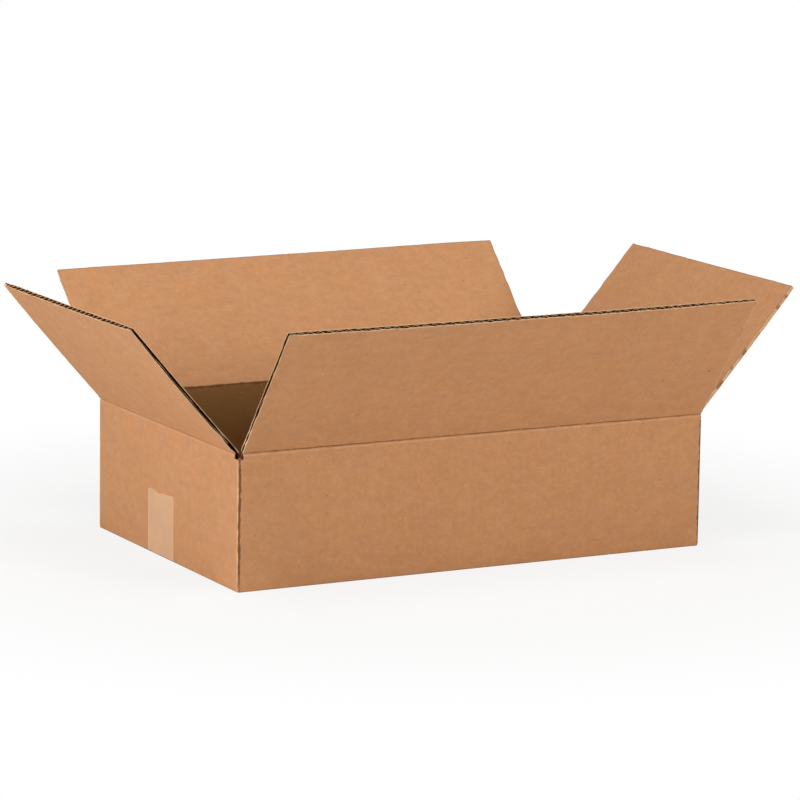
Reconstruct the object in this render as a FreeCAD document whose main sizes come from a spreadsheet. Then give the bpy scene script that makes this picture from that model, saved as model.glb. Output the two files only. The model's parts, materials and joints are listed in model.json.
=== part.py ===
import FreeCAD, Part
import Sketcher
import os
from math import cos, pi, sin

# A set-up shipping box of plain brown corrugated board, bottom taped, lid flaps open.
# Millimetres. Z is up, X runs along the long walls, the front wall faces -Y, and the
# origin is the middle of the underside. The end wall at -X is the left one.

DRIVING_SIZES = [
    # inside of the closed box, and the height of the lid creases above the table
    ("inside_length", "406.4"),
    ("inside_width", "254"),
    ("crease_height", "107.2"),
    # the board: two liners with a fluted medium between them
    ("board", "3.8"),
    ("liner", "0.5"),
    ("medium", "0.45"),
    ("flute_pitch", "8.1"),
    ("flute_flat", "1.1"),
    ("flute_crest", "0.7"),
    ("crushed_flute", "10"),
    # folds, and the layers that lie on each other in the bottom
    ("fold_radius", "2"),
    ("lap_gap", "0.2"),
    ("bottom_seam_gap", "0.6"),
    ("bottom_side_gap", "0.8"),
    ("tab_width", "32"),
    ("tab_bevel", "8"),
    ("tab_end_gap", "1.5"),
    # lid flaps: the long ones close over the short ones and nearly meet
    ("top_seam_gap", "3.8"),
    ("hinge_clearance", "0.3"),
    ("long_hinge_inset", "1"),
    ("front_lean_angle", "37.3"),
    ("back_lean_angle", "45.7"),
    ("left_lean_angle", "40.4"),
    ("right_lean_angle", "41.8"),
    # slots cut in at the corners between neighbouring flaps
    ("slot_depth", "3.4"),
    ("front_flap_left_slot", "4"),
    ("front_flap_right_slot", "0.4"),
    ("back_flap_left_slot", "2.5"),
    ("back_flap_right_slot", "3.8"),
    ("left_flap_front_slot", "7"),
    ("left_flap_back_slot", "4.2"),
    ("right_flap_front_slot", "4.2"),
    ("right_flap_back_slot", "5.6"),
    # the left flap's front edge is cut on a slant, so the flap narrows towards its tip
    ("left_flap_front_taper", "6"),
    # the tape along the bottom seam and up both ends
    ("tape_width", "48"),
    ("tape_thickness", "0.12"),
    ("tape_offset", "10"),
    ("tape_rise", "52"),
]

# How close two places count as the same one
NEAR = 1e-3

# Formulas that several pieces share
HALF_LENGTH = "(sizes.inside_length / 2 + sizes.board)"
HALF_WIDTH = "(sizes.inside_width / 2 + sizes.board)"
LONG_HINGE_RISE = "(sizes.board - sizes.long_hinge_inset + sizes.hinge_clearance)"
FLAP_LENGTH = (
    f"({HALF_WIDTH} - sizes.long_hinge_inset + {LONG_HINGE_RISE} - sizes.top_seam_gap / 2)"
)
INNER_FLAP_FLOOR = "(sizes.tape_thickness + sizes.board + sizes.lap_gap)"

doc = FreeCAD.newDocument("shipping_box")
sheet = doc.addObject("Spreadsheet::Sheet", "sizes")
for row, (alias, value) in enumerate(DRIVING_SIZES, start=1):
    sheet.set(f"A{row}", alias.replace("_", " "))
    sheet.set(f"B{row}", value)
    sheet.setAlias(f"B{row}", alias)
doc.recompute()


# Helpers for bodies, sketches and cuts

def new_body(label):
    body = doc.addObject("PartDesign::Body", label)
    body.Label = label
    doc.recompute()
    return body


def new_sketch(body, name, plane, height):
    """A sketch on one of the body's own planes, lifted off it by a formula."""
    sketch = body.newObject("Sketcher::SketchObject", name)
    support = next(item for item in body.Origin.OriginFeatures if item.Role == plane)
    sketch.AttachmentSupport = (support, [""])
    sketch.MapMode = "FlatFace"
    sketch.setExpression("AttachmentOffset.Base.z", height)
    return sketch


def tie_point(sketch, line, end, across, up):
    """Hold one end of a line at a place that two formulas give."""
    place = sketch.getPoint(line, end)
    for kind, value, formula in (("DistanceX", place.x, across), ("DistanceY", place.y, up)):
        index = sketch.addConstraint(Sketcher.Constraint(kind, -1, 1, line, end, value))
        sketch.setExpression(f"Constraints[{index}]", formula)


def add_outline(sketch, corners):
    """A closed outline of straight lines whose corners are pairs of formulas."""
    count = len(corners)
    first = sketch.GeometryCount
    rough = [
        FreeCAD.Vector(cos(2 * pi * step / count), sin(2 * pi * step / count), 0)
        for step in range(count)
    ]
    for step in range(count):
        sketch.addGeometry(Part.LineSegment(rough[step], rough[(step + 1) % count]), False)
    for step in range(count):
        following = first + (step + 1) % count
        sketch.addConstraint(Sketcher.Constraint("Coincident", first + step, 2, following, 1))
    for step, (across, up) in enumerate(corners):
        tie_point(sketch, first + step, 1, across, up)


def rectangle(low_x, low_y, high_x, high_y):
    return [(low_x, low_y), (high_x, low_y), (high_x, high_y), (low_x, high_y)]


def add_pad(body, name, sketch, length):
    pad = body.newObject("PartDesign::Pad", name)
    pad.Profile = sketch
    pad.setExpression("Length", length)
    doc.recompute()
    return pad


def add_pocket(body, name, sketch, depth, upward=False):
    """Cut against the sketch's normal, or along it, and make sure that it cut."""
    before = body.Shape.Volume
    pocket = body.newObject("PartDesign::Pocket", name)
    pocket.Profile = sketch
    pocket.Reversed = upward
    pocket.setExpression("Length", depth)
    doc.recompute()
    if body.Shape.Volume >= before:
        raise RuntimeError(f"{name} cuts nothing")
    return pocket


def add_fillet(body, name, radius, is_wanted):
    """Round the edges whose middle point passes the test."""
    tip = body.Tip
    names = []
    for number, edge in enumerate(tip.Shape.Edges, start=1):
        middle = edge.valueAt((edge.FirstParameter + edge.LastParameter) / 2)
        if is_wanted(middle):
            names.append(f"Edge{number}")
    fillet = body.newObject("PartDesign::Fillet", name)
    fillet.Base = (tip, names)
    fillet.setExpression("Radius", radius)
    doc.recompute()
    return fillet


# The box itself: one sheet folded into four walls and two layers of bottom flaps

def build_box_body():
    body = new_body("box_body")
    inner_x = "(sizes.inside_length / 2)"
    inner_y = "(sizes.inside_width / 2)"

    block = new_sketch(body, "wall_outline", "XY_Plane", "sizes.tape_thickness")
    outline = rectangle(f"-{HALF_LENGTH}", f"-{HALF_WIDTH}", HALF_LENGTH, HALF_WIDTH)
    add_outline(block, outline)
    add_pad(body, "wall_block", block, "sizes.crease_height - sizes.tape_thickness")
    top = sheet.get("crease_height")
    add_fillet(body, "folds", "sizes.fold_radius", lambda middle: middle.z < top - NEAR)

    hollow = new_sketch(body, "inside_outline", "XY_Plane", "sizes.crease_height")
    add_outline(hollow, rectangle(f"-{inner_x}", f"-{inner_y}", inner_x, inner_y))
    depth = "sizes.crease_height - sizes.tape_thickness - sizes.board"
    add_pocket(body, "inside", hollow, depth)

    # The long bottom flaps meet at the seam and stop short of both end walls
    half_gap = "sizes.bottom_seam_gap / 2"
    flap_end = f"({inner_x} - sizes.lap_gap * 2)"
    seam = new_sketch(body, "bottom_seam_outline", "XY_Plane", "sizes.tape_thickness")
    add_outline(seam, rectangle(f"-{flap_end}", f"-{half_gap}", flap_end, half_gap))
    add_pocket(body, "bottom_seam", seam, "sizes.board", upward=True)
    ends = new_sketch(body, "bottom_end_outline", "XY_Plane", "sizes.tape_thickness")
    add_outline(ends, rectangle(flap_end, f"-{inner_y}", inner_x, inner_y))
    add_outline(ends, rectangle(f"-{inner_x}", f"-{inner_y}", f"-{flap_end}", inner_y))
    add_pocket(body, "bottom_ends", ends, "sizes.board", upward=True)

    # The short bottom flaps lie inside, on the long ones
    flap_side = f"({inner_y} - sizes.bottom_side_gap)"
    in_wall = f"({HALF_LENGTH} - sizes.board / 2)"
    flap_tip = f"({HALF_LENGTH} - {FLAP_LENGTH})"
    inner = new_sketch(body, "inner_flap_outline", "XY_Plane", INNER_FLAP_FLOOR)
    add_outline(inner, rectangle(flap_tip, f"-{flap_side}", in_wall, flap_side))
    add_outline(inner, rectangle(f"-{in_wall}", f"-{flap_side}", f"-{flap_tip}", flap_side))
    add_pad(body, "inner_flaps", inner, "sizes.board")

    # The glued tab of the back wall, inside the right end wall
    tab_low = f"({INNER_FLAP_FLOOR} + sizes.board + sizes.tab_end_gap)"
    tab_high = "(sizes.crease_height - sizes.board - sizes.tab_end_gap)"
    tab_root = f"({HALF_WIDTH} - sizes.board / 2)"
    tab_edge = f"({inner_y} - sizes.tab_width)"
    tab = new_sketch(body, "glued_tab_outline", "YZ_Plane", f"{inner_x} - sizes.board")
    add_outline(tab, [
        (tab_root, tab_low),
        (tab_root, tab_high),
        (inner_y, tab_high),
        (tab_edge, f"{tab_high} - sizes.tab_bevel"),
        (tab_edge, f"{tab_low} + sizes.tab_bevel"),
        (inner_y, tab_low),
    ])
    add_pad(body, "glued_tab", tab, "sizes.board * 1.5")

    # The end walls' tops are mitred where the short flaps fold in
    mitre_foot = "(sizes.crease_height - sizes.board - sizes.hinge_clearance)"
    for side, sign in (("left", "-"), ("right", "")):
        front_slot = f"sizes.{side}_flap_front_slot"
        back_slot = f"sizes.{side}_flap_back_slot"
        mitre = new_sketch(body, f"{side}_mitre_outline", "XZ_Plane", f"{HALF_WIDTH} - {front_slot}")
        add_outline(mitre, [
            (f"{sign}{HALF_LENGTH}", "sizes.crease_height"),
            (f"{sign}{inner_x}", "sizes.crease_height"),
            (f"{sign}{inner_x}", mitre_foot),
        ])
        length = f"2 * {HALF_WIDTH} - {front_slot} - {back_slot}"
        add_pocket(body, f"{side}_mitre", mitre, length)

    slots = new_sketch(body, "slot_outline", "XY_Plane", "sizes.crease_height")
    for side_x, side_y, end_wall_slot in (
        ("-", "-", "sizes.left_flap_front_slot"),
        ("-", "", "sizes.left_flap_back_slot"),
        ("", "-", "sizes.right_flap_front_slot"),
        ("", "", "sizes.right_flap_back_slot"),
    ):
        corner_x = f"{side_x}{HALF_LENGTH}"
        corner_y = f"{side_y}{HALF_WIDTH}"
        floor_x = f"{side_x}{inner_x}"
        floor_y = f"{side_y}({HALF_WIDTH} - {end_wall_slot})"
        add_outline(slots, rectangle(corner_x, corner_y, floor_x, floor_y))
    add_pocket(body, "slots", slots, "sizes.slot_depth")
    return body


# The four lid flaps, each drawn upright in its own frame with its hinge line at the
# origin: X along the hinge, Y into the box, Z up the flap

def add_flutes(body, start, width, outer_face, tip):
    """Open cells of the medium, from the flap's free edge down towards its crease."""
    pitch = f"({width} / round({width} / sizes.flute_pitch))"
    base = f"({pitch} / 2 - sizes.flute_flat)"
    low_liner = f"({outer_face} + sizes.liner)"
    low_medium = f"({low_liner} + sizes.medium)"
    high_liner = f"({outer_face} + sizes.board - sizes.liner)"
    high_medium = f"({high_liner} - sizes.medium)"
    next_start = f"({start} + {pitch} / 2)"
    cells = new_sketch(body, f"{body.Label}_cells", "XY_Plane", tip)
    for middle, floor, crest in (
        (start, low_liner, high_medium),
        (next_start, high_liner, low_medium),
    ):
        add_outline(cells, [
            (f"{middle} - {base}", floor),
            (f"{middle} + {base}", floor),
            (f"{middle} + sizes.flute_crest", crest),
            (f"{middle} - sizes.flute_crest", crest),
        ])
    cut = add_pocket(body, f"{body.Label}_cell_pair", cells, f"{tip} - sizes.crushed_flute")
    pattern = body.newObject("PartDesign::LinearPattern", f"{body.Label}_flutes")
    pattern.Originals = [cut]
    along = next(item for item in body.Origin.OriginFeatures if item.Role == "X_Axis")
    pattern.Direction = (along, [""])
    pattern.Mode = "Spacing"
    pattern.setExpression("Offset", pitch)
    pattern.setExpression("Occurrences", f"round({width} / sizes.flute_pitch) + 1")
    body.Tip = pattern
    doc.recompute()


def place_flap(body, hinge_x, hinge_y, hinge_z, heading, lean):
    """Turn the flap about its own hinge line and set that line on the wall's crease."""
    hinge = f"vector({hinge_x}; {hinge_y}; {hinge_z})"
    body.setExpression("Placement", f"placement({hinge}; rotation({heading}; 0; {lean}))")


def build_long_flap(label, wall_sign, heading, lean, start_slot, end_slot):
    """A long flap. Its round base turns clear above the wall, over the short flaps."""
    body = new_body(label)
    start = f"({start_slot} - {HALF_LENGTH})"
    width = f"(2 * {HALF_LENGTH} - {start_slot} - {end_slot})"
    outer = "(-sizes.long_hinge_inset)"
    inner = "(sizes.board - sizes.long_hinge_inset)"
    tip = f"({FLAP_LENGTH} - {LONG_HINGE_RISE})"

    profile = new_sketch(body, f"{label}_profile", "YZ_Plane", start)
    inset = sheet.get("long_hinge_inset")
    nose = sheet.get("board") - inset
    rough_tip = 10 * nose
    nose_foot = FreeCAD.Vector(-inset, -(nose**2 - inset**2) ** 0.5, 0)
    nose_top = FreeCAD.Vector(nose, 0, 0)
    outer_tip = FreeCAD.Vector(-inset, rough_tip, 0)
    inner_tip = FreeCAD.Vector(nose, rough_tip, 0)
    nose_middle = FreeCAD.Vector(nose * cos(-pi / 4), nose * sin(-pi / 4), 0)
    profile.addGeometry(Part.LineSegment(nose_foot, outer_tip), False)
    profile.addGeometry(Part.LineSegment(outer_tip, inner_tip), False)
    profile.addGeometry(Part.LineSegment(inner_tip, nose_top), False)
    profile.addGeometry(Part.Arc(nose_foot, nose_middle, nose_top), False)
    for line in (0, 1):
        profile.addConstraint(Sketcher.Constraint("Coincident", line, 2, line + 1, 1))
    profile.addConstraint(Sketcher.Constraint("Coincident", 3, 1, 0, 1))
    profile.addConstraint(Sketcher.Constraint("Coincident", 3, 2, 2, 2))
    profile.addConstraint(Sketcher.Constraint("Coincident", 3, 3, -1, 1))
    profile.addConstraint(Sketcher.Constraint("PointOnObject", 2, 2, -1))
    profile.addConstraint(Sketcher.Constraint("Vertical", 0))
    tie_point(profile, 1, 1, outer, tip)
    tie_point(profile, 1, 2, inner, tip)
    profile.addConstraint(Sketcher.Constraint("Vertical", 2))

    add_pad(body, f"{label}_board", profile, width)
    add_flutes(body, start, width, outer, tip)
    hinge_y = f"{wall_sign}({HALF_WIDTH} - sizes.long_hinge_inset)"
    place_flap(body, "0", hinge_y, f"sizes.crease_height + {LONG_HINGE_RISE}", heading, lean)
    return body


def trim_end(body, end, taper, tip):
    """Cut the flap's far side edge on a slant that starts at the hinge."""
    wedge = new_sketch(body, f"{body.Label}_trim_outline", "XZ_Plane", "0")
    add_outline(wedge, [(end, "0"), (f"{end} + {taper}", tip), (f"{end} - {taper}", tip)])
    add_pocket(body, f"{body.Label}_trim", wedge, "sizes.board * 2")


def build_short_flap(label, wall_sign, heading, lean, start_slot, end_slot, end_taper=None):
    """A short flap. Its mitred base turns about the wall's outer top edge."""
    body = new_body(label)
    start = f"({start_slot} - {HALF_WIDTH})"
    width = f"(2 * {HALF_WIDTH} - {start_slot} - {end_slot})"
    profile = new_sketch(body, f"{label}_profile", "YZ_Plane", start)
    add_outline(profile, [
        ("0", "sizes.hinge_clearance / 3"),
        ("sizes.board", "sizes.board + sizes.hinge_clearance"),
        ("sizes.board", FLAP_LENGTH),
        ("0", FLAP_LENGTH),
    ])
    add_pad(body, f"{label}_board", profile, width)
    add_flutes(body, start, width, "0", FLAP_LENGTH)
    if end_taper:
        trim_end(body, f"({start} + {width})", end_taper, FLAP_LENGTH)
    hinge_x = f"{wall_sign}{HALF_LENGTH}"
    place_flap(body, hinge_x, "0", "sizes.crease_height", heading, lean)
    return body


# One strip of tape: along the bottom seam, round both bottom edges and up the end walls

def build_seam_tape():
    body = new_body("seam_tape")
    outer_x = f"({HALF_LENGTH} + sizes.tape_thickness)"
    near_side = "sizes.tape_width / 2 - sizes.tape_offset"
    strip = new_sketch(body, "tape_outline", "XZ_Plane", near_side)
    add_outline(strip, [
        (f"-{outer_x}", "0"),
        (outer_x, "0"),
        (outer_x, "sizes.tape_rise"),
        (HALF_LENGTH, "sizes.tape_rise"),
        (HALF_LENGTH, "sizes.tape_thickness"),
        (f"-{HALF_LENGTH}", "sizes.tape_thickness"),
        (f"-{HALF_LENGTH}", "sizes.tape_rise"),
        (f"-{outer_x}", "sizes.tape_rise"),
    ])
    pad = add_pad(body, "tape_strip", strip, "sizes.tape_width")
    pad.Reversed = True
    doc.recompute()

    thickness = sheet.get("tape_thickness")
    half_length = sheet.get("inside_length") / 2 + sheet.get("board")

    def inner_bend(middle):
        return abs(abs(middle.x) - half_length) < NEAR and abs(middle.z - thickness) < NEAR

    def outer_bend(middle):
        return abs(abs(middle.x) - half_length - thickness) < NEAR and abs(middle.z) < NEAR

    add_fillet(body, "inner_bends", "sizes.fold_radius", inner_bend)
    add_fillet(body, "outer_bends", "sizes.fold_radius + sizes.tape_thickness", outer_bend)
    return body


pieces = [
    build_box_body(),
    build_long_flap(
        "front_flap", "-", "0", "sizes.front_lean_angle",
        "sizes.front_flap_left_slot", "sizes.front_flap_right_slot",
    ),
    build_long_flap(
        "back_flap", "", "180", "sizes.back_lean_angle",
        "sizes.back_flap_right_slot", "sizes.back_flap_left_slot",
    ),
    build_short_flap(
        "left_flap", "-", "-90", "sizes.left_lean_angle",
        "sizes.left_flap_back_slot", "sizes.left_flap_front_slot",
        "sizes.left_flap_front_taper",
    ),
    build_short_flap(
        "right_flap", "", "90", "sizes.right_lean_angle",
        "sizes.right_flap_front_slot", "sizes.right_flap_back_slot",
    ),
    build_seam_tape(),
]
doc.recompute()

failed = [
    item.Label for item in doc.Objects
    if "Invalid" in item.State or "Error" in item.State
]
if failed:
    raise RuntimeError(f"failed features: {failed}")
for piece in pieces:
    if piece.Shape.isNull() or not piece.Shape.isValid() or len(piece.Shape.Solids) != 1:
        raise RuntimeError(f"{piece.Label} is not one valid solid")

os.makedirs("parts", exist_ok=True)
for piece in pieces:
    piece.Shape.exportStep(f"parts/{piece.Label}.step")
    box = piece.Shape.BoundBox
    low = f"{box.XMin:.1f} {box.YMin:.1f} {box.ZMin:.1f}"
    high = f"{box.XMax:.1f} {box.YMax:.1f} {box.ZMax:.1f}"
    print(f"{piece.Label}: {piece.Shape.Volume / 1000:.1f} cm3, {low} to {high}")
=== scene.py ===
# %% [markdown]
# # An open shipping box of brown corrugated board
# The real object is one sheet of corrugated board, scored and folded into four walls, with
# its bottom flaps taped shut and its four lid flaps standing open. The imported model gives
# the sizes, the creases and the way the flaps turn. This lesson makes the board itself: two
# liners with a wavy medium between them, soft crushed creases, raw cut edges and a strip of
# tape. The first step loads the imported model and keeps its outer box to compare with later.

import json
from bisect import bisect_right
from math import atan, cos, degrees, pi, radians, sin, sqrt

import bmesh
import bpy
from mathutils import Matrix, Vector, noise
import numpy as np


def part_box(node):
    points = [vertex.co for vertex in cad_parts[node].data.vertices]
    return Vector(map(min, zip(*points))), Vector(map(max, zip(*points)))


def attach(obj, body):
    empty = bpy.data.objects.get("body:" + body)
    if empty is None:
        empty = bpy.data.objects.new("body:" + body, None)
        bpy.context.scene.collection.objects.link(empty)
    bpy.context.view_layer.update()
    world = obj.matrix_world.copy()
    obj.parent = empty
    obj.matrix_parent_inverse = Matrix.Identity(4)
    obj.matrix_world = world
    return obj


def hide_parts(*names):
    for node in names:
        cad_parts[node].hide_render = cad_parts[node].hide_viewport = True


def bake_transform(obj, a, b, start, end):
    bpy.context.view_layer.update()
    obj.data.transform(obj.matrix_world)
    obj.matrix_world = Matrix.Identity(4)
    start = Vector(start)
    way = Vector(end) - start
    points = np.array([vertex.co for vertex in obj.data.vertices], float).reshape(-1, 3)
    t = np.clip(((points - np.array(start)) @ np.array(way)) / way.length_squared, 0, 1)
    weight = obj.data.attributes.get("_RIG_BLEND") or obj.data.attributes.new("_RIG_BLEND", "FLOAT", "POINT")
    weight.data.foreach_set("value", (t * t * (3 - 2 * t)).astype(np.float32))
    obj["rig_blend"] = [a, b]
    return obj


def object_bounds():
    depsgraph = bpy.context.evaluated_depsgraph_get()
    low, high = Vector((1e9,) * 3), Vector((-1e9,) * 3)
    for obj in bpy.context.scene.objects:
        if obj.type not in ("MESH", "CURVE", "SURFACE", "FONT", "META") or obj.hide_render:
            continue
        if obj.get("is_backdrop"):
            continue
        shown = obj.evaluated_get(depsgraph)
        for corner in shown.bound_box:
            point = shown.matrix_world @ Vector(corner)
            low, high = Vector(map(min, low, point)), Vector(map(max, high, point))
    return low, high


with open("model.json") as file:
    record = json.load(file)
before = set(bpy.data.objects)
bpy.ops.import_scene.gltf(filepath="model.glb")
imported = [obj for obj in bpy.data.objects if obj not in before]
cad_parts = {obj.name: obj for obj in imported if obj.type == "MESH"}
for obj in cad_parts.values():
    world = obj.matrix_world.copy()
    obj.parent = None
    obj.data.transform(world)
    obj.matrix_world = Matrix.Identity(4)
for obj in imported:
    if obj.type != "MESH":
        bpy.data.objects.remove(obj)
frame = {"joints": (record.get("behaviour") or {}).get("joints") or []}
cad_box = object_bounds()

# %% [markdown]
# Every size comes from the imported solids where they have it: the outside of the walls, the
# height of the creases, the lean of each flap. Only the paper itself is given here. C-flute
# board is about 3.8 mm thick, with one wave of the medium every 8.1 mm.

# %% Sizes of the board and the box
MM = 0.001
BOARD = 3.8 * MM
LINER = 0.5 * MM
MEDIUM = 0.36 * MM
FLUTE_PITCH = 8.1 * MM
SLOT_DEPTH = 3.4 * MM
FOLD_RADIUS = 2 * MM

body_low, body_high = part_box("box_body")
HALF_LENGTH = body_high.x
HALF_WIDTH = body_high.y
CREASE = body_high.z
UNDERSIDE = body_low.z
WALL_TOP = CREASE - SLOT_DEPTH
INSIDE_X = HALF_LENGTH - BOARD
INSIDE_Y = HALF_WIDTH - BOARD
print(f"outside {2 * HALF_LENGTH:.3f} x {2 * HALF_WIDTH:.3f} m, creases at {CREASE:.4f} m")

# %% [markdown]
# ## Finishes
# All the looks come from a few finishes of paper. A node tree is easier to read when each
# node takes one line, so this helper adds a node, sets its options, and fills its inputs
# with either a value or another node's output.

# %% A helper for material nodes


def add_node(tree, kind, inputs=None, **options):
    """Adds one node. Its inputs are given by name or number, as values or as sockets."""
    made = tree.nodes.new("ShaderNode" + kind)
    for option, value in options.items():
        setattr(made, option, value)
    for name, value in (inputs or {}).items():
        if isinstance(value, bpy.types.NodeSocket):
            tree.links.new(value, made.inputs[name])
        else:
            made.inputs[name].default_value = value
    return made


def math_node(tree, operation, first, second=0.0, clamp=False):
    inputs = {0: first, 1: second}
    return add_node(tree, "Math", inputs, operation=operation, use_clamp=clamp).outputs[0]


def remap(tree, value, low, high, to_low=0.0, to_high=1.0):
    """Turns a range of values into another, with soft ends."""
    inputs = {0: value, 1: low, 2: high, 3: to_low, 4: to_high}
    made = add_node(tree, "MapRange", inputs, interpolation_type="SMOOTHSTEP")
    return made.outputs[0]


def noise_value(tree, place, scale, detail=2.0, roughness=0.5):
    inputs = {"Vector": place, "Scale": scale, "Detail": detail, "Roughness": roughness}
    return add_node(tree, "TexNoise", inputs).outputs["Fac"]


def mix_colour(tree, share, first, second):
    inputs = {0: share, 6: first, 7: second}
    return add_node(tree, "Mix", inputs, data_type="RGBA").outputs[2]


def object_place(tree):
    return add_node(tree, "TexCoord").outputs["Object"]


def carried_value(tree, label):
    """A value that each vertex of the board carries, such as its distance from a cut edge."""
    return add_node(tree, "Attribute", attribute_name=label).outputs["Fac"]


def stretched(tree, place, across, along, turn=0.0):
    """A place with its own scale across and along the flutes, for patterns that run one way."""
    inputs = {"Vector": place, "Rotation": (0, 0, turn), "Scale": (across, along, 1)}
    return add_node(tree, "Mapping", inputs).outputs[0]


def scattered(tree, place, scale, left_out, size):
    """Spots, one to a cell of the pattern: some cells stay empty and the others differ in size."""
    cells = add_node(tree, "TexVoronoi", {"Vector": place, "Scale": scale}, feature="F1")
    pick = add_node(tree, "SeparateColor", {0: cells.outputs["Color"]}).outputs[0]
    reach = remap(tree, pick, left_out, 1.0, 0.0, size)
    return math_node(tree, "LESS_THAN", cells.outputs["Distance"], reach)


def new_group(name, inputs, outputs):
    """A shader node group with its sockets. Gives the tree, its input and output nodes."""
    tree = bpy.data.node_groups.new(name, "ShaderNodeTree")
    for label, kind, value in inputs:
        socket = tree.interface.new_socket(label, in_out="INPUT", socket_type="NodeSocket" + kind)
        socket.default_value = value
    for label, kind in outputs:
        tree.interface.new_socket(label, in_out="OUTPUT", socket_type="NodeSocket" + kind)
    return tree, tree.nodes.new("NodeGroupInput"), tree.nodes.new("NodeGroupOutput")


def place_group(tree, group, inputs):
    return add_node(tree, "Group", inputs, node_tree=group).outputs


# %% [markdown]
# ### Kraft paper
# Brown kraft is never one colour. It has soft clouds about 30 mm wide, a finer mottle of a
# few millimetres, short fibres that lie mostly across the flutes, dark flecks of bark and a
# few pale hairs. Over the flutes the liner also sinks a few hundredths of a millimetre
# between the waves, which hardly shows. All of that varies around one base colour, so a
# group gives out the varied colour and a height for the bump, and both sides of the board
# can use it.

# %% Node group: kraft paper
CLOUD_SCALE, WARMTH_SCALE, MOTTLE_SCALE, GRAIN_SCALE = 27, 60, 190, 560
kraft_group, kraft_in, kraft_out = new_group(
    "kraft_paper",
    [("Base Color", "Color", (0.6, 0.3, 0.14, 1)), ("Mottle", "Float", 1), ("Flecks", "Float", 1)],
    [("Color", "Color"), ("Height", "Float")],
)
spot = object_place(kraft_group)
sheet_place = add_node(kraft_group, "UVMap", uv_map="board").outputs["UV"]
clouds = noise_value(kraft_group, spot, CLOUD_SCALE, 2)
mottle = noise_value(kraft_group, spot, MOTTLE_SCALE, 3, 0.6)
grain = noise_value(kraft_group, spot, GRAIN_SCALE, 2, 0.6)
fibres = noise_value(kraft_group, stretched(kraft_group, sheet_place, 150, 900, 0.06), 1, 1)
patches = noise_value(kraft_group, stretched(kraft_group, sheet_place, 60, 130, 0.04), 1, 3, 0.6)
streaks = noise_value(kraft_group, stretched(kraft_group, sheet_place, 420, 7), 1, 2)
across = add_node(kraft_group, "SeparateXYZ", {0: sheet_place}).outputs[0]
wave = math_node(kraft_group, "SINE", math_node(kraft_group, "MULTIPLY", across, 2 * pi / FLUTE_PITCH))


def weighed_sum(tree, parts, centre):
    """Adds patterns to a centre. Each part is a pattern, its weight and its own middle."""
    total = centre
    for value, weight, middle in parts:
        part = math_node(tree, "MULTIPLY", math_node(tree, "SUBTRACT", value, middle), weight)
        total = math_node(tree, "ADD", total, part)
    return total


uneven = weighed_sum(
    kraft_group,
    [(clouds, 0.10, 0.5), (patches, 0.24, 0.5), (mottle, 0.24, 0.5), (grain, 0.20, 0.5),
     (fibres, 0.08, 0.5), (streaks, 0.03, 0.5), (wave, 0.002, 0.0)],
    0.0,
)
shade = math_node(
    kraft_group, "ADD", math_node(kraft_group, "MULTIPLY", uneven, kraft_in.outputs["Mottle"]), 1.0
)
varied = add_node(
    kraft_group, "VectorMath", {0: kraft_in.outputs["Base Color"], "Scale": shade}, operation="SCALE"
).outputs[0]
warmth = remap(kraft_group, noise_value(kraft_group, spot, WARMTH_SCALE, 1), 0.35, 0.7)
warmer = mix_colour(kraft_group, warmth, (1.0, 0.99, 0.96, 1), (0.99, 1.01, 1.05, 1))
warm_colour = add_node(
    kraft_group, "VectorMath", {0: varied, 1: warmer}, operation="MULTIPLY"
).outputs[0]

# %% Node group: kraft paper, its flecks and its height
BARK_BROWN = (0.17, 0.075, 0.035, 1)
PALE_HAIR = (0.86, 0.56, 0.34, 1)
SPECK_SHARE = 0.55
HAIR_SHARE = 0.35
flecks_wanted = kraft_in.outputs["Flecks"]
bark = scattered(kraft_group, spot, 36.0, 0.35, 0.028)
specks = scattered(kraft_group, spot, 130.0, 0.45, 0.085)
fleck = math_node(kraft_group, "MAXIMUM", bark, math_node(kraft_group, "MULTIPLY", specks, SPECK_SHARE))
fleck = math_node(kraft_group, "MULTIPLY", fleck, flecks_wanted)
flecked = mix_colour(kraft_group, fleck, warm_colour, BARK_BROWN)
hairs = scattered(kraft_group, stretched(kraft_group, sheet_place, 75, 800, -0.12), 1.0, 0.86, 0.17)
hair_amount = math_node(kraft_group, "MULTIPLY", flecks_wanted, HAIR_SHARE)
hairs = math_node(kraft_group, "MULTIPLY", hairs, hair_amount)
haired = mix_colour(kraft_group, hairs, flecked, PALE_HAIR)
kraft_group.links.new(haired, kraft_out.inputs["Color"])
paper_height = weighed_sum(
    kraft_group,
    [(mottle, 0.4, 0.5), (grain, 0.4, 0.5), (fibres, 0.4, 0.5), (wave, 0.05, 0.0)],
    0.5,
)
kraft_group.links.new(paper_height, kraft_out.inputs["Height"])
print("kraft paper group:", len(kraft_group.nodes), "nodes")
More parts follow.
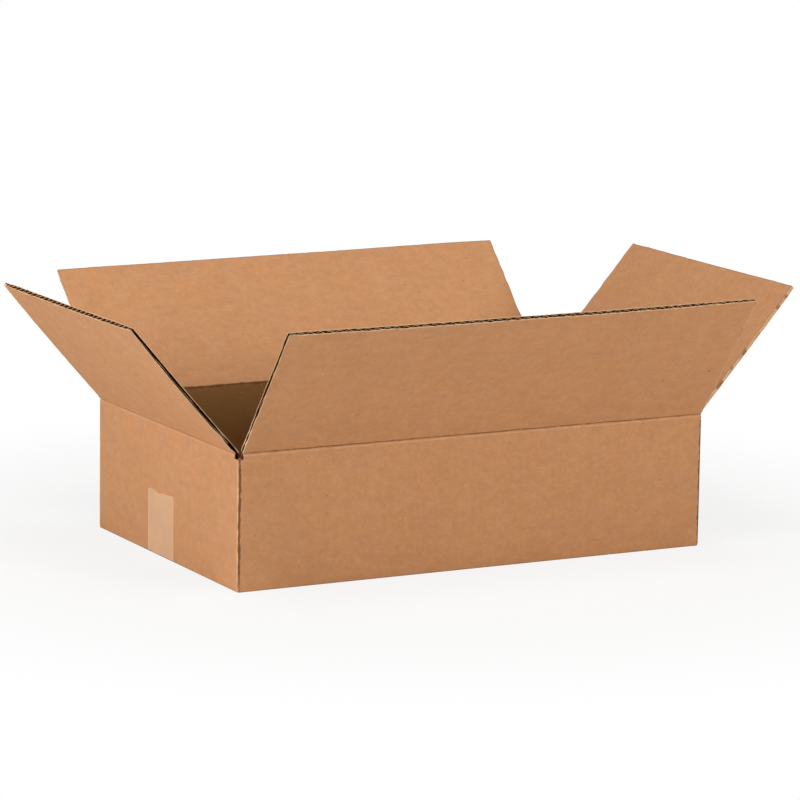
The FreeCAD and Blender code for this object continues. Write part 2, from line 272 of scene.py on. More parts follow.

# %% [markdown]
# ### Fold marks
# Where the board is folded its outer liner is crushed. The marks are a thin, uneven, reddish
# dark line in the groove, partly crushed fibres and partly painted shade of the groove, and
# beside it a paler line, a painted highlight where the bead catches the light. Both follow
# the distance from the fold, which each piece carries as an attribute or can work out from
# its place. The group gives out two masks.

# %% Node group: fold marks
fold_group, fold_in, fold_out = new_group(
    "fold_marks",
    [("Distance", "Float", 1.0), ("Line Width", "Float", 0.8 * MM), ("Bead Place", "Float", -1.2 * MM)],
    [("Line", "Float"), ("Bead", "Float")],
)
fold_spot = object_place(fold_group)
uneven_line = remap(fold_group, noise_value(fold_group, fold_spot, 210, 3, 0.7), 0.3, 0.7, 0.45, 1.25)
half_line = math_node(fold_group, "MULTIPLY", fold_in.outputs["Line Width"], uneven_line)
wander = math_node(
    fold_group, "MULTIPLY",
    math_node(fold_group, "SUBTRACT", noise_value(fold_group, fold_spot, 90, 2), 0.5), 1.2 * MM,
)
from_line = math_node(
    fold_group, "ABSOLUTE", math_node(fold_group, "SUBTRACT", fold_in.outputs["Distance"], wander)
)
line_share = math_node(fold_group, "DIVIDE", from_line, half_line)
# Line: crushed fibres and painted shade in the groove of the fold.
fold_group.links.new(remap(fold_group, line_share, 0.5, 1.3, 1.0, 0.0), fold_out.inputs["Line"])
# Bead: a painted highlight along the bead beside the fold.
from_bead = math_node(
    fold_group, "ABSOLUTE",
    math_node(fold_group, "SUBTRACT", fold_in.outputs["Distance"], fold_in.outputs["Bead Place"]),
)
bead_broken = remap(fold_group, noise_value(fold_group, fold_spot, 160, 2), 0.3, 0.6, 0.35, 1.0)
bead = math_node(
    fold_group, "MULTIPLY", remap(fold_group, from_bead, 0.3 * MM, 1.1 * MM, 1.0, 0.0), bead_broken
)
fold_group.links.new(bead, fold_out.inputs["Bead"])
print("fold marks group:", len(fold_group.nodes), "nodes")

# %% [markdown]
# ### The finishes
# The faces of the board take the kraft group plus the fold marks. One function makes five of
# them: walls, long and short lids, the lids' inner faces, and the inside of the box, whose
# paper is darkened with painted shade, because the real one lies in deeper shade than soft
# studio light gives. A cut edge shows the paler inside of the paper, rough with short torn
# fibres. Inside the flutes the real paper lies in deep shade and looks nearly black a
# millimetre in, so that finish is painted shade that darkens with the distance from the cut.
# The tape is smooth and a little glossy, with a painted highlight inside each side edge and
# a painted shadow line along the edge itself. Each finish gets its constants on the shader
# itself and its patterns through links.

# %% Kraft finish for walls and lids
PAPER_ROUGHNESS = 0.82
PAPER_SHINE = 0.2
PAPER_RELIEF = 0.06 * MM
KRAFT = (0.600, 0.298, 0.142, 1)
# Pale paper: the painted highlight on the bead, and the paler rim along the lids' cut edges.
PALE_PAPER = (0.84, 0.60, 0.40, 1)
# Crease line colour: crushed fibres, darkened further as painted shade of the groove.
CREASE_CRUSH_AND_SHADE = (0.17, 0.072, 0.026, 1)
# Dark rim: a painted contact shadow along the walls' bottom edge, and a dark line at the lids' cut edges.
RIM_DARK = (0.19, 0.080, 0.034, 1)
# Painted shade: a darker kraft for the inside of the box, which lies in deep shade.
SHADED_INSIDE_KRAFT = (0.33, 0.175, 0.057, 1)


def new_material(name, roughness, specular):
    material = bpy.data.materials.new(name)
    material.use_nodes = True
    shader = material.node_tree.nodes["Principled BSDF"]
    shader.inputs["Roughness"].default_value = roughness
    shader.inputs["Specular IOR Level"].default_value = specular
    return material, material.node_tree, shader


def link_bump(tree, shader, height, depth):
    bump = add_node(tree, "Bump", {"Height": height, "Strength": 1.0, "Distance": depth})
    tree.links.new(bump.outputs[0], shader.inputs["Normal"])


def kraft_finish(
    name, distance_of, line_width, line_share, bead_place=-1 * MM, bead_highlight_share=0.0,
    rim=RIM_DARK, rim_share=0.7, base=KRAFT,
):
    """A face of the board. distance_of builds the nodes that give the fold's distance."""
    material, tree, shader = new_material(name, PAPER_ROUGHNESS, PAPER_SHINE)
    paper = place_group(tree, kraft_group, {"Base Color": base})
    marks = place_group(
        tree, fold_group,
        {"Distance": distance_of(tree), "Line Width": line_width, "Bead Place": bead_place},
    )
    # A painted highlight on the bead, then the crease line of crushed fibres and painted shade.
    bead_highlight_amount = math_node(tree, "MULTIPLY", marks["Bead"], bead_highlight_share)
    colour = mix_colour(tree, bead_highlight_amount, paper["Color"], PALE_PAPER)
    edge = carried_value(tree, "edge")
    end_fade = remap(tree, edge, 0.0, 16 * MM, 0.4 * line_share, line_share)
    line_amount = math_node(tree, "MULTIPLY", marks["Line"], end_fade)
    colour = mix_colour(tree, line_amount, colour, CREASE_CRUSH_AND_SHADE)
    place = object_place(tree)
    # Near a cut edge the colour turns to the rim colour, broken by dark dashes. Along the walls' bottom edge
    # this band is a painted contact shadow; on the lids' inner faces it is a dark line along the cut edges.
    frayed = math_node(tree, "MULTIPLY", noise_value(tree, place, 900, 2), 0.5 * MM)
    frayed_edge = math_node(tree, "ADD", edge, frayed)
    edge_band = remap(tree, frayed_edge, 0.4 * MM, 1.0 * MM, rim_share, 0.0)
    rim_dashes = remap(tree, noise_value(tree, place, 120, 2), 0.52, 0.62)
    colour = mix_colour(tree, edge_band, colour, mix_colour(tree, rim_dashes, rim, RIM_DARK))
    tree.links.new(colour, shader.inputs["Base Color"])
    link_bump(tree, shader, paper["Height"], PAPER_RELIEF)
    return material


def fold_distance(tree):
    return carried_value(tree, "fold")


long_lid_paper = kraft_finish(
    "kraft_long_lid", fold_distance, line_width=0.62 * MM, line_share=0.75,
    bead_place=-2.0 * MM, bead_highlight_share=0.4, rim=PALE_PAPER, rim_share=0.5,
)
short_lid_paper = kraft_finish(
    "kraft_short_lid", fold_distance, line_width=0.7 * MM, line_share=0.5,
    bead_place=-2.2 * MM, bead_highlight_share=0.15, rim=PALE_PAPER, rim_share=0.5,
)
inner_paper = kraft_finish("kraft_inner_face", fold_distance, line_width=1.3 * MM, line_share=0.85)
shaded_inside_paper = kraft_finish(
    "kraft_inside_box_painted_shade", fold_distance, line_width=1.3 * MM, line_share=0.85,
    rim_share=0.0, base=SHADED_INSIDE_KRAFT,
)


def corner_distance(tree):
    """How far a point of the walls is from the nearest upright fold, over its own wall.
    On the long walls it counts up, on the end walls it counts down."""
    place = add_node(tree, "SeparateXYZ", {0: object_place(tree)})
    from_end = math_node(tree, "SUBTRACT", HALF_LENGTH, math_node(tree, "ABSOLUTE", place.outputs[0]))
    from_side = math_node(tree, "SUBTRACT", HALF_WIDTH, math_node(tree, "ABSOLUTE", place.outputs[1]))
    signed = math_node(tree, "SUBTRACT", from_end, from_side)
    return math_node(tree, "SUBTRACT", signed, 0.9 * MM)


# On the upright folds the same marks paint a highlight beside the rounded corner and a dark line of crushed
# fibres and painted shade.
wall_paper = kraft_finish(
    "kraft_walls", corner_distance, line_width=1.6 * MM, line_share=0.95,
    bead_place=-2.3 * MM, bead_highlight_share=0.6,
)
print("kraft finishes: walls, long lids, short lids, inner faces, inside of the box")

# %% Cut edges, the inside of the flutes, and tape
cut_edge, cut_tree, cut_shader = new_material("cut_edge", 0.9, 0.0)
cut_spot = object_place(cut_tree)
torn = remap(cut_tree, noise_value(cut_tree, cut_spot, 700, 3, 0.7), 0.3, 0.7)
CUT_BROWN = (0.68, 0.41, 0.23, 1)
CUT_PALE = (0.88, 0.62, 0.40, 1)
cut_colour = mix_colour(cut_tree, torn, CUT_BROWN, CUT_PALE)
cut_tree.links.new(cut_colour, cut_shader.inputs["Base Color"])
link_bump(cut_tree, cut_shader, torn, 0.1 * MM)

shaded_flute_paper, flute_tree, flute_shader = new_material("shaded_flute_paper", 0.9, 0.0)
flute_edge = carried_value(flute_tree, "edge")
flute_torn = noise_value(flute_tree, object_place(flute_tree), 500, 2)
reach = math_node(
    flute_tree, "SUBTRACT", flute_edge, math_node(flute_tree, "MULTIPLY", flute_torn, 0.5 * MM)
)
# Painted shade: the paper inside the flutes is made dark at the cut and nearly black from a millimetre in,
# for the shade in the flutes.
FLUTE_MOUTH_SHADE = (0.20, 0.075, 0.028, 1)
FLUTE_DEEP_SHADE = (0.08, 0.028, 0.009, 1)
flute_painted_shade = mix_colour(flute_tree, remap(flute_tree, reach, 0.0, 1.6 * MM), FLUTE_MOUTH_SHADE, FLUTE_DEEP_SHADE)
flute_tree.links.new(flute_painted_shade, flute_shader.inputs["Base Color"])
link_bump(flute_tree, flute_shader, flute_torn, 0.1 * MM)

tape_film, tape_tree, tape_shader = new_material("packing_tape", 0.38, 0.4)
tape_spot = object_place(tape_tree)
tape_edge = carried_value(tape_tree, "edge")
tape_cloud = remap(tape_tree, noise_value(tape_tree, tape_spot, 60, 2), 0.3, 0.7)
TAPE_DARKER = (0.655, 0.372, 0.192, 1)
TAPE_LIGHTER = (0.690, 0.392, 0.206, 1)
# Painted highlight: a pale strip inside each side edge of the tape. Painted shadow: a dark line along the
# edge itself, for the shadow of the tape's edge.
TAPE_PAINTED_HIGHLIGHT = (0.82, 0.53, 0.32, 1)
TAPE_PAINTED_SHADOW = (0.33, 0.16, 0.075, 1)
tape_colour = mix_colour(tape_tree, tape_cloud, TAPE_DARKER, TAPE_LIGHTER)
tape_highlight_mask = remap(tape_tree, tape_edge, 0.9 * MM, 2.0 * MM, 0.6, 0.0)
tape_colour = mix_colour(tape_tree, tape_highlight_mask, tape_colour, TAPE_PAINTED_HIGHLIGHT)
tape_shadow_mask = remap(tape_tree, tape_edge, 0.15 * MM, 0.45 * MM, 0.6, 0.0)
tape_colour = mix_colour(tape_tree, tape_shadow_mask, tape_colour, TAPE_PAINTED_SHADOW)
tape_tree.links.new(tape_colour, tape_shader.inputs["Base Color"])
tape_wrinkle = noise_value(tape_tree, tape_spot, 130, 2)
link_bump(tape_tree, tape_shader, tape_wrinkle, 0.12 * MM)
print("finishes:", ", ".join(sorted(material.name for material in bpy.data.materials)))

# %% [markdown]
# ## Building board
# Every panel is a grid of rows and columns that a small function sets in place: columns run
# across the flutes, rows run along them, and a depth goes from the outer face into the
# board. A liner is such a grid, extruded from one depth to the next, so its rim is a real
# cut edge. Its columns lie closer near the edges, where the paper is frayed.

# %% Rows and columns
EDGE_STEPS = [0.0, 0.5 * MM, 1.2 * MM, 2.2 * MM, 3.8 * MM, 6.0 * MM]


def spread(low, high, step, near_low=True, near_high=True):
    """Places from low to high, closer together near the ends that are cut edges."""
    starts = EDGE_STEPS if near_low else [0.0]
    ends = EDGE_STEPS if near_high else [0.0]
    first, last = low + starts[-1], high - ends[-1]
    count = max(1, round((last - first) / step))
    middle = [first + (last - first) * number / count for number in range(1, count)]
    return [low + part for part in starts] + middle + [high - part for part in reversed(ends)]


def wobble(place, seed, scale, size):
    """A smooth uneven value along an edge, the same in every run."""
    return size * noise.noise(Vector((place * scale, seed * 7.31, seed * 1.7)))


print("columns of a 100 mm panel:", len(spread(0, 0.1, 3 * MM)))

# %% A layer of paper
CARRIED = ("along", "up", "fold", "edge")
FACE, CUT, FLUTE, INNER, HOLLOW = range(5)


def new_board_mesh():
    """An empty mesh with the values that the finishes read."""
    bm = bmesh.new()
    for label in CARRIED:
        bm.verts.layers.float.new(label)
    bm.loops.layers.uv.new("board")
    return bm


def carried_layers(bm):
    return [bm.verts.layers.float[label] for label in CARRIED]


def add_grid(bm, columns, rows):
    """A flat grid that knows its column and row. Gives its vertices and its faces."""
    along, up, _, _ = carried_layers(bm)
    last_column, last_row = len(columns) - 1, len(rows) - 1
    made = bmesh.ops.create_grid(bm, x_segments=last_column, y_segments=last_row, size=0.5)
    for vert in made["verts"]:
        vert[along] = columns[round((vert.co.x + 0.5) * last_column)]
        vert[up] = rows[round((vert.co.y + 0.5) * last_row)]
    faces = list({face for vert in made["verts"] for face in vert.link_faces})
    return made["verts"], faces


def add_liner(bm, columns, rows, place, near, far, near_slot, far_slot):
    """A liner between two depths, with a material slot for each side of it."""
    along, up, _, _ = carried_layers(bm)
    verts, faces = add_grid(bm, columns, rows)
    for face in faces:
        face.material_index = near_slot
    old = set(faces)
    grown = bmesh.ops.extrude_face_region(bm, geom=faces)["geom"]
    far_verts = [item for item in grown if isinstance(item, bmesh.types.BMVert)]
    far_faces = [item for item in grown if isinstance(item, bmesh.types.BMFace)]
    for vert in verts:
        vert.co = place(vert[along], vert[up], near)
    for vert in far_verts:
        vert.co = place(vert[along], vert[up], far)
    for face in far_faces:
        face.material_index = far_slot
    known = old | set(far_faces)
    shell = {face for vert in verts + far_verts for face in vert.link_faces}
    for face in shell - known:
        face.material_index = CUT
    bmesh.ops.recalc_face_normals(bm, faces=list(shell))


def add_medium(bm, columns, rows, place, wave_of):
    """The wavy paper between the liners."""
    along, up, _, _ = carried_layers(bm)
    verts, faces = add_grid(bm, columns, rows)
    for vert in verts:
        vert.co = place(vert[along], vert[up], wave_of(vert[along]))
    for face in faces:
        face.material_index = FLUTE
    old = set(faces)
    grown = bmesh.ops.solidify(bm, geom=faces, thickness=MEDIUM)["geom"]
    new_faces = [item for item in grown if isinstance(item, bmesh.types.BMFace)]
    shell = old | set(new_faces)
    shell |= {face for item in shell for vert in item.verts for face in vert.link_faces}
    for face in shell - old:
        rim_pairs = {(round(vert[along], 7), round(vert[up], 7)) for vert in face.verts}
        face.material_index = CUT if len(rim_pairs) < 3 else FLUTE
    bmesh.ops.recalc_face_normals(bm, faces=list(shell))


def finish_board(bm, name, papers, edge_of, fold_of):
    """Writes the values that the finishes read, and makes the mesh an object."""
    along, up, fold, edge = carried_layers(bm)
    chart = bm.loops.layers.uv["board"]
    for vert in bm.verts:
        vert[edge] = edge_of(vert[along], vert[up])
        vert[fold] = fold_of(vert[up])
    for face in bm.faces:
        for loop in face.loops:
            loop[chart].uv = (loop.vert[along], loop.vert[up])
    return finish_piece(bm, name, papers)


SHARP_ANGLE = radians(38)


def finish_piece(bm, name, papers):
    mesh = bpy.data.meshes.new(name)
    bm.to_mesh(mesh)
    bm.free()
    mesh.shade_smooth()
    mesh.set_sharp_from_angle(angle=SHARP_ANGLE)
    for paper in papers:
        mesh.materials.append(paper)
    piece = bpy.data.objects.new(name, mesh)
    bpy.context.scene.collection.objects.link(piece)
    print(f"{name}: {len(mesh.polygons)} faces")
    return piece


# %% [markdown]
# The medium's wave is nearly a triangle with rounded tops, which is what a cut edge of such
# board shows: a row of dark cells that point up and down in turn, with thin pale lines
# between them.

# %% The wave of the medium
WAVE_SWING = (BOARD - 2 * LINER - MEDIUM) / 2


def flute_wave(start, pitch):
    def depth(place):
        turn = 2 * pi * (place - start) / pitch
        return BOARD / 2 + WAVE_SWING * (0.94 * sin(turn) - 0.06 * sin(3 * turn))
    return depth


COLUMNS_A_WAVE = 12


def flute_columns(low, high):
    """A whole number of waves from edge to edge: their columns, and the pitch that fits."""
    waves = round((high - low) / FLUTE_PITCH)
    count = waves * COLUMNS_A_WAVE
    return [low + (high - low) * number / count for number in range(count + 1)], (high - low) / waves


print(f"wave height {2 * WAVE_SWING / MM:.2f} mm")

# %% [markdown]
# ## The walls
# The walls are one ring. A block gives the outside, its upright folds are bevelled round, and
# solidify turns it into a wall of board thickness. The top is cut off at the floor of the
# corner slots, because from there up each side belongs to its own lid flap. The ring's top
# edge shows at the slots, so it is inset and sunk between its liners.

# %% Walls
WALL_BULGE = 0.5 * MM
WALL_ROWS = [row * MM for row in (2, 6, 16, 30, 45, 60, 75, 88, 96)]
NEAR_FOLD, FAR_FROM_FOLD = 4 * MM, 14 * MM


def wall_bulge(co):
    """The long walls stand a little proud in the middle. The tape holds the end walls flat."""
    if abs(co.y) < INSIDE_Y - 0.5 * MM:
        return Vector()
    rise = sin(pi * min(1, max(0, (co.z - UNDERSIDE) / (WALL_TOP - UNDERSIDE))))
    across = cos(pi / 2 * min(1, abs(co.x) / INSIDE_X))
    return Vector((0, (1 if co.y > 0 else -1) * WALL_BULGE * rise * across, 0))


def build_walls():
    bm = new_board_mesh()
    bmesh.ops.create_cube(bm, size=1.0)
    size = Vector((2 * HALF_LENGTH, 2 * HALF_WIDTH, WALL_TOP - UNDERSIDE))
    bmesh.ops.scale(bm, vec=size, verts=bm.verts)
    bmesh.ops.translate(bm, vec=(0, 0, (WALL_TOP + UNDERSIDE) / 2), verts=bm.verts)
    lids = [face for face in bm.faces if abs(face.normal.z) > 0.9]
    bmesh.ops.delete(bm, geom=lids, context="FACES_ONLY")
    upright = [edge for edge in bm.edges if abs((edge.verts[0].co - edge.verts[1].co).z) > 0.05]
    bmesh.ops.bevel(
        bm, geom=upright, offset=FOLD_RADIUS, offset_type="OFFSET", affect="EDGES",
        segments=5, profile=0.5, material=-1,
    )
    for axis, half in (((1, 0, 0), HALF_LENGTH), ((0, 1, 0), HALF_WIDTH)):
        cuts = [half - FOLD_RADIUS - part for part in (NEAR_FOLD, FAR_FROM_FOLD)]
        steps = 12 if half == HALF_LENGTH else 8
        reach = half - FOLD_RADIUS - FAR_FROM_FOLD
        cuts += [reach * (1 - 2 * number / steps) for number in range(1, steps)]
        cuts += [-cut for cut in cuts[:2]]
        for cut in cuts:
            everything = bm.verts[:] + bm.edges[:] + bm.faces[:]
            bmesh.ops.bisect_plane(bm, geom=everything, plane_co=Vector(axis) * cut, plane_no=axis)
    for row in WALL_ROWS:
        everything = bm.verts[:] + bm.edges[:] + bm.faces[:]
        bmesh.ops.bisect_plane(
            bm, geom=everything, plane_co=(0, 0, UNDERSIDE + row), plane_no=(0, 0, 1)
        )
    bmesh.ops.recalc_face_normals(bm, faces=bm.faces)
    bmesh.ops.solidify(bm, geom=bm.faces[:], thickness=BOARD)
    bmesh.ops.recalc_face_normals(bm, faces=bm.faces)
    return bm


walls_mesh = build_walls()
low_z = min(vert.co.z for vert in walls_mesh.verts)
print(f"wall ring: {len(walls_mesh.faces)} faces, lowest point {low_z / MM:.2f} mm")

# %% Walls, the top edge and the bulge
RIM_DEPTH = 2.2 * MM
FAR_FROM_ANY_FOLD = 1.0
TUCK = 0.5 * MM


def sink_rim(bm, faces, depth):
    """Insets a cut edge between its liners and sinks the middle, which is the medium."""
    for face in faces:
        face.material_index = CUT
    bmesh.ops.inset_region(bm, faces=faces, thickness=LINER, use_boundary=True, use_even_offset=True)
    for face in faces:
        face.material_index = FLUTE
    verts = list({vert for face in faces for vert in face.verts})
    bmesh.ops.translate(bm, vec=(0, 0, -depth), verts=verts)


outside = max(vert.co.x for vert in walls_mesh.verts)
top_rim = [face for face in walls_mesh.faces if face.normal.z > 0.9]
sink_rim(walls_mesh, top_rim, RIM_DEPTH)
_, _, fold_value, edge_value = carried_layers(walls_mesh)
chart = walls_mesh.loops.layers.uv["board"]
for vert in walls_mesh.verts:
    vert[edge_value] = vert.co.z - UNDERSIDE
    vert[fold_value] = FAR_FROM_ANY_FOLD
for face in walls_mesh.faces:
    along_x = abs(face.normal.y) > abs(face.normal.x)
    way = 1 if (-face.normal.y if along_x else face.normal.x) > 0 else -1
    for loop in face.loops:
        place = loop.vert.co
        loop[chart].uv = (way * (place.x if along_x else place.y), place.z - WALL_TOP)
    middle = face.calc_center_median()
    inside = abs(middle.x) < INSIDE_X + 0.1 * MM and abs(middle.y) < INSIDE_Y + 0.1 * MM
    if inside and face.material_index == FACE:
        face.material_index = INNER
for vert in walls_mesh.verts:
    vert.co += wall_bulge(vert.co)
for vert in walls_mesh.verts:
    low_edge = vert.co.z < UNDERSIDE + 0.1 * MM
    if low_edge and (abs(vert.co.x) > outside - MM or abs(vert.co.y) > HALF_WIDTH - MM):
        vert.co -= Vector((vert.co.x, vert.co.y, 0)).normalized() * TUCK
walls = finish_piece(walls_mesh, "walls", [wall_paper, cut_edge, shaded_flute_paper, shaded_inside_paper])
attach(walls, "box")
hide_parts("box_body")

# %% [markdown]
# ## The bottom
# The two long bottom flaps meet under the tape, and the two short ones lie on them inside
# the box, with their raw fluted edges facing each other. All of them are plain flat board,
# so one function builds a flat panel: it says where the panel starts, which way its columns
# and its rows run, and which way is deeper.

# %% A flat panel of board


def flat_panel(name, corner, across, onward, inward, width, length, free_row=True):
    """Board whose flutes run onward. Its far row edge is cut, and both side edges."""
    def place(column, row, depth):
        return corner + across * column + onward * row + inward * depth

    columns = spread(0, width, 12 * MM)
    rows = spread(0, length, 20 * MM, near_low=False, near_high=free_row)
    bm = new_board_mesh()
    add_liner(bm, columns, rows, place, 0, LINER, FACE, FLUTE)
    add_liner(bm, columns, rows, place, BOARD, BOARD - LINER, FACE, FLUTE)
    waves, pitch = flute_columns(1.5 * MM, width - 1.5 * MM)
    wave_rows = [length - part for part in (25 * MM, 4 * MM, 1.5 * MM, 0.4 * MM)]
    add_medium(bm, waves, wave_rows, place, flute_wave(1.5 * MM, pitch))
    piece = finish_board(
        bm, name, [shaded_inside_paper, cut_edge, shaded_flute_paper],
        lambda column, row: min(column, width - column, length - row),
        lambda row: FAR_FROM_ANY_FOLD,
    )
    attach(piece, "box")
    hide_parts("box_body")
    return piece


# The lap is the air between two layers of board.
LAP = 0.2 * MM
SEAM_GAP = 0.6 * MM
flap_reach = HALF_WIDTH - SEAM_GAP / 2 - BOARD
for name, side in (("bottom_flap_front", -1), ("bottom_flap_back", 1)):
    flat_panel(
        name, Vector((side * (INSIDE_X - 2 * LAP), side * (HALF_WIDTH - BOARD), UNDERSIDE)),
        Vector((-side, 0, 0)), Vector((0, -side, 0)), Vector((0, 0, 1)),
        2 * (INSIDE_X - 2 * LAP), flap_reach,
    )

# %% Inner bottom flaps and the glued tab
inner_floor = UNDERSIDE + BOARD + LAP
inner_half = INSIDE_Y - 0.8 * MM
lid_length = 131.0 * MM
for name, side in (("inner_flap_left", -1), ("inner_flap_right", 1)):
    flat_panel(
        name, Vector((side * INSIDE_X, -side * inner_half, inner_floor)),
        Vector((0, side, 0)), Vector((-side, 0, 0)), Vector((0, 0, 1)),
        2 * inner_half, lid_length - BOARD,
    )
TAB_WIDTH = 32 * MM
TAB_BEVEL = 8 * MM
tab_low = inner_floor + BOARD + 1.5 * MM
tab_high = CREASE - BOARD - 1.5 * MM


def tab_place(column, row, depth):
    """The tab's columns run away from the fold, and its ends slant in towards its edge."""
    slant = TAB_BEVEL * column / TAB_WIDTH
    height = tab_low + slant + (tab_high - tab_low - 2 * slant) * row
    return Vector((INSIDE_X - 0.1 * MM - depth, INSIDE_Y - column, height))


tab_mesh = new_board_mesh()
tab_columns = spread(0, TAB_WIDTH, 8 * MM, near_low=False)
tab_rows = [0, 0.01, 0.1, 0.4, 0.6, 0.9, 0.99, 1]
add_liner(tab_mesh, tab_columns, tab_rows, tab_place, 0, LINER, FACE, FLUTE)
add_liner(tab_mesh, tab_columns, tab_rows, tab_place, BOARD, BOARD - LINER, FACE, FLUTE)
tab_waves, tab_pitch = flute_columns(0, TAB_WIDTH - 2 * MM)
add_medium(tab_mesh, tab_waves, [0.01, 0.5, 0.99], tab_place, flute_wave(0, tab_pitch))
glued_tab = finish_board(
    tab_mesh, "glued_tab", [shaded_inside_paper, cut_edge, shaded_flute_paper],
    lambda column, row: min(TAB_WIDTH - column, row * 0.08, (1 - row) * 0.08),
    lambda row: FAR_FROM_ANY_FOLD,
)
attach(glued_tab, "box")
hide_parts("box_body")

# %% [markdown]
# ## The lid flaps
# Each lid flap is one piece of board from the floor of the corner slots, through the crease,
# to its free edge. Its lower rows stay with the wall, its upper rows turn with the lid, and
# those in the crease bend between the two, so no gap opens when a flap moves. The first cell
# works out the side view of one flap: for every row a point on the outer face and one on the
# inner face, measured outwards and up from the crease. Below the crease the outer liner
# swells into a small bead, then dips into the groove of the score.

# %% Side view of a lid flap
# Each point of a bead is (outwards, up) from the crease at the outer face, in millimetres.
LONG_BEAD = [
    (0, -3.4), (0, -2.8), (0.08, -2.1), (0.2, -1.4),
    (0.2, -0.8), (-0.08, -0.35), (-0.4, 0), (-0.8, 0.45),
]
SHORT_BEAD = [(0, -3.4), (0, -2.6), (0.04, -1.8), (0.10, -1.1), (0.04, -0.6), (-0.18, -0.2), (-0.3, 0.05)]
FLAP_STEPS = [0, 0.5, 1.1, 1.8, 2.6, 3.5, 4.6, 6.2, 8.4] + [11.6 + 3.4 * step for step in range(33)]
INNER_ROUND = 0.9 * MM
BELOW_CREASE = 0.6 * MM
SETTLED = 7 * MM
TIP_STEPS = [part * MM for part in (3.8, 2.2, 1.2, 0.5, 0)]


def lid_profile(lean, inset, rise, length, bead, groove_height):
    """Rows from the slot's floor to the free edge: (way along, outer point, inner point)."""
    leaning = Vector((sin(lean), cos(lean)))
    facing = Vector((cos(lean), -sin(lean)))
    hinge = Vector((-inset, rise))
    outer_start = hinge + facing * inset
    inner_start = hinge - facing * (BOARD - inset)
    groove = (groove_height - outer_start.y) / leaning.y
    bend = (-BOARD - inner_start.x) / leaning.x
    corner = inner_start + leaning * bend
    wall_reach = corner.y + SLOT_DEPTH

    def inner_point(onward):
        if onward <= -INNER_ROUND:
            return corner + Vector((0, 1)) * onward
        if onward >= INNER_ROUND:
            return corner + leaning * onward
        share = (onward + INNER_ROUND) / (2 * INNER_ROUND)
        before = corner - Vector((0, 1)) * INNER_ROUND
        after = corner + leaning * INNER_ROUND
        return before * (1 - share) ** 2 + corner * 2 * share * (1 - share) + after * share**2

    rows = []
    for number, (out, up) in enumerate(bead):
        onward = -wall_reach + (wall_reach - BELOW_CREASE) * number / len(bead)
        rows.append((Vector((out, up)) * MM, inner_point(onward)))
    heights = [groove + step * MM for step in FLAP_STEPS] + [length - part for part in TIP_STEPS]
    for height in heights:
        if height < SETTLED:
            share = (height - groove) / (SETTLED - groove)
            onward = -BELOW_CREASE + share * (SETTLED - bend + BELOW_CREASE)
        else:
            onward = height - bend
        rows.append((outer_start + leaning * height, inner_point(onward)))
    ways = [0.0]
    for (before, _), (after, _) in zip(rows, rows[1:]):
        ways.append(ways[-1] + (after - before).length)
    return [(way, outer, inner) for way, (outer, inner) in zip(ways, rows)], facing, ways[len(bead)]


sample, _, _ = lid_profile(radians(40), MM, 3.1 * MM, 128 * MM, LONG_BEAD, 1.3 * MM)
print(len(sample), "rows,", round(sample[-1][0] / MM, 1), "mm along the board")

# %% [markdown]
# The lids aren't perfect rectangles. Their free edges sag a little in the middle, some are
# twisted from end to end, and their faces belly out. The board is pinched thinner at the
# corners where it was pressed, and the cuts wander by a few tenths of a millimetre. On some
# side edges the medium is torn back and leaves a dark channel between the liners, on others
# the knife pressed the liners together. The left flap also narrows towards its tip. One
# function puts all of that on a flap.

# %% Build one lid flap
SIDES = {
    "front": (0, HALF_WIDTH, HALF_LENGTH),
    "right": (90, HALF_LENGTH, HALF_WIDTH),
    "back": (180, HALF_WIDTH, HALF_LENGTH),
    "left": (270, HALF_LENGTH, HALF_WIDTH),
}
JOINTS = {joint["name"].split("_")[0]: joint for joint in frame["joints"]}
# How far in from a side edge the board is pressed, its cut wanders, its liners close, and
# its medium is torn back. Each wander is (waves for each metre, size).
PRESS_REACH, CUT_REACH, CLOSE_REACH, TEAR_REACH = 3.8 * MM, 4 * MM, 1.2 * MM, 9 * MM
FACE_WANDER = (9, 0.5 * MM)
TIP_WANDERS = ((130, 0.5 * MM), (420, 0.3 * MM))
SIDE_WANDER = (110, 0.7 * MM)
CLOSE_WANDER = (110, 0.9)
TEAR_WANDERS = ((60, 2.6 * MM), (300, 1.2 * MM))
TIP_LOSS = (200, 0.4 * MM)
TORN_BACK, LEAST_TORN = 1.4 * MM, 0.1 * MM
MOST_CLOSED = 0.93
TIP_SHARE = 0.9


def lid_facts(side):
    """Lean, hinge place and length of a flap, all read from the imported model."""
    turn, wall, _ = SIDES[side]
    joint = JOINTS[side]
    lean = radians(-90 - joint["range_deg"][0])
    hinge = Vector(joint["pos_m"])
    inset = wall - max(abs(hinge.x), abs(hinge.y))
    rise = hinge.z - CREASE
    low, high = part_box(f"{side}_flap")
    inner_reach = (BOARD - inset) * sin(lean)
    length = (high.z - hinge.z - inner_reach) / cos(lean)
    spin = Matrix.Rotation(-radians(turn), 3, "Z")
    ends = sorted(((spin @ low).x, (spin @ high).x))
    return lean, inset, rise, length, ends


